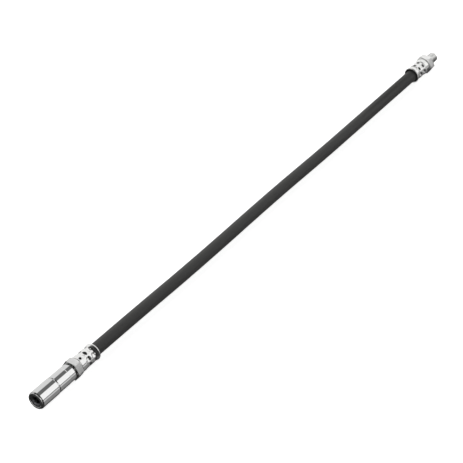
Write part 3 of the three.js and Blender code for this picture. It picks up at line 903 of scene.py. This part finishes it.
def dents_at(x, radius, angle):
    """How far the dents lower the tube's surface at that point."""
    step = 2 * math.pi / DENTS_PER_ROW
    turn = angle - DENT_TURN
    aside = (turn - round(turn / step) * step) * radius
    depth = 0
    for place in DENT_ROWS:
        slope = min(1, max(0, DENT_RADIUS - math.hypot(x - place, aside)) / (DENT_RADIUS - DENT_FLAT))
        depth += DENT_DEPTH * slope**2 * (3 - 2 * slope)
    return depth


def finer(outline, longest):
    """The outline with long straight stretches divided."""
    points = [outline[0]]
    for (x0, r0), (x1, r1) in zip(outline, outline[1:]):
        parts = max(1, math.ceil(math.hypot(x1 - x0, r1 - r0) / longest))
        for part in range(1, parts + 1):
            points.append((x0 + (x1 - x0) * part / parts, r0 + (r1 - r0) * part / parts))
    return points


# %% [markdown]
# The sight hole is made as it is in the workshop: the ferrule is whole at first, and a drill goes through
# its wall. The drill is a plain cylinder, and a boolean takes it out of the ferrule.

# %% Drill
DRILL_SIDES = 48


def sight_drill(facing, place, turn):
    """A drill's cylinder through the ferrule's wall, at that station and angle."""
    outwards = Vector((0, facing * math.cos(turn), math.sin(turn)))
    sideways = outwards.cross(Vector((1, 0, 0)))
    centre = ring_point(place, 0, 0)
    discs = []
    for depth in (FERRULE_BORE - 1, RIB_RADIUS + 1):
        disc = []
        for a in even_angles(DRILL_SIDES):
            spoke = Vector((1, 0, 0)) * math.cos(a) + sideways * math.sin(a)
            disc.append(centre + (outwards * depth + spoke * SIGHT_HOLE_RADIUS) * MM)
        discs.append(disc)
    drill = bmesh.new()
    join_rings(drill, discs, looped=False, capped=True)
    return drill


def drilled(mesh, drill):
    """The mesh with the drill's volume taken out of it. Both meshes are used up."""
    weld(mesh)
    weld(drill)
    whole, cutter = new_object("blank", mesh), new_object("blank", drill)
    boolean = whole.modifiers.new("drill", "BOOLEAN")
    boolean.object = cutter
    boolean.operation = "DIFFERENCE"
    seen = whole.evaluated_get(bpy.context.evaluated_depsgraph_get())
    result = bmesh.new()
    result.from_mesh(seen.to_mesh())
    seen.to_mesh_clear()
    for blank in (whole, cutter):
        data = blank.data
        bpy.data.objects.remove(blank)
        bpy.data.meshes.remove(data)
    return result


# %% Ferrules
FERRULE_ROW = 0.25  # longest step between two rings of the crimped side


def ferrule(name, node, mouth, facing, hole_turn):
    """A crimped ferrule with its bell mouth at that station, facing +X (1) or -X (-1)."""
    hex_side = mouth - facing * ferrule_length
    around = even_angles(FERRULE_SEGMENTS)
    rings = []
    for x, r in finer(ferrule_outline, FERRULE_ROW):
        rings.append([ring_point(hex_side + facing * x, r - dents_at(x, r, a), a, facing) for a in around])
    for x, r in inner_outline[:-1]:
        rings.append([ring_point(hex_side + facing * x, r, a, facing) for a in around])
    mesh = bmesh.new()
    join_rings(mesh, rings)
    drill = sight_drill(facing, hex_side + facing * SIGHT_HOLE_PLACE, hole_turn)
    return finish_piece(drilled(mesh, drill), name, node, "hose", zinc)


ferrule("front_ferrule_crimped", "front_ferrule", station("front_ferrule", 1), 1, math.radians(106))
ferrule("rear_ferrule_crimped", "rear_ferrule", station("rear_ferrule"), -1, math.radians(1))

# %% [markdown]
# ## The nipples
# Both ends of the hose have the same steel nipple: a hexagon for the spanner, an M10 x 1 thread, and a
# barbed tail that the hose is pushed over. A hexagon bar has its corners turned off at 30 degrees on the
# lathe, which leaves the curved edges that every nut shows. Here each ring point knows how far out the
# hexagon reaches at its angle, and the chamfer's edge follows from that, so the curves come by themselves.
#
# The thread is cut as a right-hand helix. Rings can't wind, so the thread is a strip instead: rows that
# climb one pitch in a turn and meet the row of the next turn where they come round. Rows that would pass
# the thread's end are held there, and the weld removes what has no size.

# %% Hexagon and thread sizes
HEX_FLATS = 17
HEX_LENGTH = 7
HEX_CORNER_FILLET = 0.35
HEX_CHAMFER = math.tan(math.radians(30))
HEX_LAND = HEX_FLATS / 2 - 0.2  # radius of the flat ring inside the chamfer
HEX_FLAT_STEPS = 14
HEX_CORNER_STEPS = 4
EDGE_BREAK = 0.12
PITCH = 1.0
THREAD_RADIUS = 5.0
THREAD_DEPTH = 0.6
THREAD_START = HEX_LENGTH + 1.2
THREAD_END = HEX_LENGTH + 14
ROOT = THREAD_RADIUS - THREAD_DEPTH
RELIEF = ROOT - 0.12
BORE = 1.3
BORE_CHAMFER = 0.3
NECK = 4.0
LOCK_COLLAR = 4.9
LOCK_COLLAR_PLACE = (-3.3, -2.1)
BARB_CREST = 2.11
BARB_FOOT = 1.81
TAIL_END = -21.3
THREAD_PROFILE = [  # share of the pitch, radius
    (0, ROOT - 0.04),
    (0.13, ROOT),
    (0.43, THREAD_RADIUS),
    (0.57, THREAD_RADIUS),
    (0.87, ROOT),
]


def corner_start():
    """The angle from the middle of a flat to where the rounded corner begins."""
    apothem = HEX_FLATS / 2
    return math.atan((apothem - HEX_CORNER_FILLET) * math.tan(math.pi / 6) / apothem)


def hexagon_angles():
    """Angles round the nipple, close together at the six corners."""
    flat_half = corner_start()
    angles = []
    for side in range(6):
        middle = math.pi / 6 + side * math.pi / 3
        flat_step = 2 * flat_half / HEX_FLAT_STEPS
        corner_step = (math.pi / 3 - 2 * flat_half) / HEX_CORNER_STEPS
        angles += [middle - flat_half + flat_step * i for i in range(HEX_FLAT_STEPS + 1)]
        angles += [middle + flat_half + corner_step * i for i in range(1, HEX_CORNER_STEPS)]
    return angles


def hexagon_radius(angle):
    """How far out the hexagon's side is at that angle, with rounded corners."""
    apothem = HEX_FLATS / 2
    off = abs(angle % (math.pi / 3) - math.pi / 6)
    if off <= corner_start():
        return apothem / math.cos(off)
    centre = (apothem - HEX_CORNER_FILLET) / math.cos(math.pi / 6)
    turn = math.pi / 6 - off
    return centre * math.cos(turn) + math.sqrt(HEX_CORNER_FILLET**2 - (centre * math.sin(turn)) ** 2)


print("hexagon", HEX_FLATS, "mm across flats,", round(2 * hexagon_radius(0), 2), "mm across corners")

# %% [markdown]
# The rest of the nipple is round: the bore, the barbed tail, the locking collar that the ferrule's end grips
# behind, and the neck. Its outline starts at the thread's end ring, goes back through the bore and comes
# forward again over the tail to the hexagon's face, all measured from that face.

# %% Tail of the nipple
tail_outline = rounded(
    [
        (THREAD_END, RELIEF, 0),
        (THREAD_END, BORE + BORE_CHAMFER, 0.1),
        (THREAD_END - BORE_CHAMFER, BORE, 0.1),
        (TAIL_END + 0.2, BORE, 0.1),
        (TAIL_END, BORE + BORE_CHAMFER, 0.1),
        (TAIL_END, 1.8, 0.1),
        (-19.8, BARB_CREST, 0.1),
        (-14.7, BARB_FOOT, 0.05),
        (-14.3, BARB_CREST, 0.1),
        (-9.2, BARB_FOOT, 0.05),
        (-8.8, BARB_CREST, 0.1),
        (LOCK_COLLAR_PLACE[0], BARB_CREST, 0.1),
        (LOCK_COLLAR_PLACE[0], LOCK_COLLAR, 0.15),
        (LOCK_COLLAR_PLACE[1], LOCK_COLLAR, 0.15),
        (LOCK_COLLAR_PLACE[1], NECK, 0.1),
        (0, NECK, 0.2),
        (0, HEX_LAND, 0),
    ]
)


# %% Hexagon and thread
def hexagon_rows(angle):
    """The rows from the chamfered face to the relief groove, as (x, radius) at that angle."""
    reach = hexagon_radius(angle)
    edge = (reach - HEX_LAND) * HEX_CHAMFER
    out = EDGE_BREAK * math.cos(math.pi / 6)
    along = EDGE_BREAK * math.sin(math.pi / 6)
    return [
        (edge / 2, (HEX_LAND + reach) / 2),
        (edge - along / 2, reach - out / 2),
        (edge + EDGE_BREAK / 2, reach),
        (HEX_LENGTH - EDGE_BREAK, reach),
        (HEX_LENGTH, reach - EDGE_BREAK),
        (HEX_LENGTH, RELIEF),
        (THREAD_START, RELIEF),
    ]


def thread_strip(mesh, angles, point):
    """Adds the helical skin of the thread between THREAD_START and THREAD_END."""
    turns = math.ceil((THREAD_END - THREAD_START) / PITCH) + 2
    rows = []
    for turn in range(turns):
        for phase, radius in THREAD_PROFILE:
            row = []
            for angle in angles:
                x = THREAD_START + (turn + phase + angle / (2 * math.pi) - 1) * PITCH
                x = min(max(x, THREAD_START), THREAD_END)
                limit = RELIEF + min(x - THREAD_START, THREAD_END - x)
                row.append(mesh.verts.new(point(x, min(radius, limit), angle)))
            rows.append(row)
    last = len(angles) - 1
    per_turn = len(THREAD_PROFILE)
    for n in range(len(rows) - 1):
        for i in range(last):
            mesh.faces.new((rows[n][i], rows[n][i + 1], rows[n + 1][i + 1], rows[n + 1][i]))
        if n + 1 + per_turn < len(rows):
            over = n + per_turn
            mesh.faces.new((rows[n][last], rows[over][0], rows[over + 1][0], rows[n + 1][last]))


# %% Nipples
def nipple(name, node, hex_face, facing):
    """A nipple whose chamfered hexagon face is at that station, with its thread towards facing."""

    def point(x, radius, angle):
        return ring_point(hex_face + facing * x, radius, angle, facing)

    mesh = bmesh.new()
    angles = hexagon_angles()
    rings = [[point(x, r, a) for a in angles] for x, r in tail_outline]
    columns = [[point(x, r, a) for x, r in hexagon_rows(a)] for a in angles]
    rings += [list(ring) for ring in zip(*columns)]
    join_rings(mesh, rings, looped=False)
    thread_strip(mesh, angles, point)
    return flat_faces_stay_flat(finish_piece(mesh, name, node, "hose", zinc))


front_hex_face = station("front_nipple", 1) + TAIL_END
rear_hex_face = station("rear_nipple") - TAIL_END
nipple("front_nipple_machined", "front_nipple", front_hex_face, -1)
nipple("rear_nipple_machined", "rear_nipple", rear_hex_face, 1)
print("hexagon faces at", round(front_hex_face - nose_x / MM, 1), round(rear_hex_face - nose_x / MM, 1))

# %% [markdown]
# ## Floor and light
# Chrome has no colour of its own: it shows what stands round it. A catalogue studio wraps the thing in long
# white cloths with dark gaps, and the gaps draw the dark lines that make a cylinder look round. Here the
# sky round the object holds those cloths as broad bands, named by their angle round the hose: 0 degrees is
# the far side, 90 is straight up and 180 is the camera's side. There are three zones along the hose. Ahead,
# towards the thread, hang the cloths that the cylinders' sides show to the camera. Across the middle the
# studio is dark on the camera's side, which is where the dents and chamfers get their black. Behind, past
# the nose, hang the cloths that the other side of the hose shows, and straight ahead of the nose is a round
# light that draws a thin line on each round edge there. The lamp above is only for what isn't a mirror.

# %% Bands and zones
SOFT_EDGE = 1.5  # degrees over which a band fades on either side of its edge


def light_bands(tree, turn, bands):
    """A ramp over the angle round the hose. Bands are (from degrees, to degrees, brightness)."""
    ramp = add_node(tree, "ShaderNodeValToRGB", {"Fac": turn})
    stops = ramp.color_ramp.elements
    wanted = []
    for low, high, light in bands:
        wanted.append(((low + SOFT_EDGE + 180) / 360, light))
        wanted.append(((high - SOFT_EDGE + 180) / 360, light))
    while len(stops) < len(wanted):
        stops.new(1.0)
    for stop, (place, light) in zip(stops, wanted):
        stop.position = place
        stop.color = (light, light, light, 1)
    return ramp.outputs[0]


def zone_change(tree, along, low, high, before, after):
    """Goes from one set of bands to another where the direction along the hose is between low and high."""
    share = add_node(tree, "ShaderNodeMapRange", {"Value": along, 1: low, 2: high}).outputs[0]
    return add_node(tree, "ShaderNodeMix", {0: share, 6: before, 7: after}, data_type="RGBA").outputs[2]


# %% Sky
world = bpy.data.worlds.new("studio")
bpy.context.scene.world = world
world.use_nodes = True
sky = world.node_tree
sky.nodes.clear()
direction = add_node(sky, "ShaderNodeTexCoord").outputs["Generated"]
parts = add_node(sky, "ShaderNodeSeparateXYZ", {0: direction}).outputs
angle_round = add_node(sky, "ShaderNodeMath", {0: parts[2], 1: parts[1]}, operation="ARCTAN2").outputs[0]
turn_share = add_node(
    sky, "ShaderNodeMath", {0: angle_round, 1: 1 / (2 * math.pi), 2: 0.5}, operation="MULTIPLY_ADD"
).outputs[0]
AHEAD_BANDS = [
    (-180, -161, 0.66),
    (-161, -114, 0.27),
    (-114, -53, 0.13),
    (-53, 65, 0.8),
    (65, 110, 0.16),
    (110, 173, 1.1),
    (173, 180, 0.03),
]
MIDDLE_BANDS = [
    (-180, -38, 0.03),
    (-38, 40, 0.5),
    (40, 180, 0.03),
]
BEHIND_BANDS = [
    (-180, -168, 0.6),
    (-168, -120, 0.12),
    (-120, -35, 0.03),
    (-35, 35, 0.6),
    (35, 58, 0.08),
    (58, 84, 0.9),
    (84, 132, 0.05),
    (132, 168, 0.95),
    (168, 180, 0.1),
]
NOSE_LIGHT = (1, 1, 1, 1)
ahead = light_bands(sky, turn_share, AHEAD_BANDS)
across = light_bands(sky, turn_share, MIDDLE_BANDS)
behind = light_bands(sky, turn_share, BEHIND_BANDS)
behind_to_middle = zone_change(sky, parts[0], -0.55, -0.45, behind, across)
behind_to_ahead = zone_change(sky, parts[0], 0.3, 0.42, behind_to_middle, ahead)
surroundings = zone_change(sky, parts[0], -0.9, -0.8, NOSE_LIGHT, behind_to_ahead)
background = add_node(sky, "ShaderNodeBackground", {"Color": surroundings, "Strength": 1.0})
add_node(sky, "ShaderNodeOutputWorld", {"Surface": background.outputs[0]})

# %% [markdown]
# The floor is a sheet of matt white paper that glows, as paper lit from behind does. It is far wider than
# the hose, so that its edge lies out of sight from every side, and the plated pieces don't mirror it.

# %% Floor
FLOOR_SIZE = 60  # metres
floor_mesh = bmesh.new()
bmesh.ops.create_grid(floor_mesh, x_segments=1, y_segments=1, size=FLOOR_SIZE / 2)
floor = new_object("floor", floor_mesh)
floor.location.z = cad_low.z
floor.visible_glossy = False
paper = new_finish(
    "matte_white_paper",
    "#F4F4F3",
    {"Roughness": 0.9, "Emission Color": linear("#FFFFFF"), "Emission Strength": 0.8},
)[0]
floor.data.materials.append(paper)

# %% [markdown]
# Two more white cloths are bent like a tunnel over the hose. They hide the sky's dark gap, so the plated
# ferrules and hexagons show no dark stripe along their tops, as the chromed coupler does. The pieces mirror
# what lies some 45 mm further along, so each cloth starts that much past the first piece that shows it: the
# long one past the front hexagon, the short one past the rear ferrule's mouth. Only mirrors can see them.

# %% White tunnels over the hose
TUNNEL_RADIUS = 60
TUNNEL_SIDES = 16
TUNNEL_FROM = -35  # degrees, with 0 at the far side
TUNNEL_TURN = 145
lit_cloth = {"Emission Color": linear("#FFFFFF"), "Emission Strength": 1.0}
white_cloth = new_finish("white_cloth_lit_from_behind", "#000000", lit_cloth)[0]


def white_tunnel(name, start, end):
    """A bright cloth over the hose between two stations, from below the far side to just past the top."""
    turns = [math.radians(TUNNEL_FROM + TUNNEL_TURN * i / TUNNEL_SIDES) for i in range(TUNNEL_SIDES + 1)]
    mesh = bmesh.new()
    here, there = [
        [mesh.verts.new(ring_point(x, TUNNEL_RADIUS, turn)) for turn in turns] for x in (start, end)
    ]
    for i in range(TUNNEL_SIDES):
        mesh.faces.new((here[i], here[i + 1], there[i + 1], there[i]))
    tunnel = new_object(name, mesh)
    tunnel.data.materials.append(white_cloth)
    tunnel.visible_camera = False
    tunnel.visible_diffuse = False
    tunnel.visible_shadow = False


white_tunnel("long_tunnel", station("coupler_body", 1) + 45, station("rear_ferrule") - 35)
white_tunnel("short_tunnel", station("rear_ferrule") + 44, station("rear_nipple", 1) + 120)
print("two white tunnels hang over the hose")

# %% [markdown]
# The lamp is a wide soft box above the far side of the hose. It lights the rubber and the floor from above.
# It is kept out of every reflection, which the sky's bands and the cloths already give.

# %% Lamp
lamp = bpy.data.objects.new("soft_lamp", bpy.data.lights.new("soft_lamp", "AREA"))
bpy.context.scene.collection.objects.link(lamp)
lamp.data.shape = "RECTANGLE"
lamp.data.size = 1.6
lamp.data.size_y = 0.8
lamp.data.energy = 12
lamp.location = (0, 0.9, 1.3)
lamp.rotation_mode = "QUATERNION"
lamp.rotation_quaternion = lamp.location.to_track_quat("Z", "Y")
lamp.visible_glossy = False
bpy.context.scene.view_settings.view_transform = "Standard"

# %% [markdown]
# ## Finish
# The last cell writes the size of the CAD model.

# %% Size of the CAD model
print("CAD box", [round(v / MM, 2) for v in (*cad_low, *cad_high)])
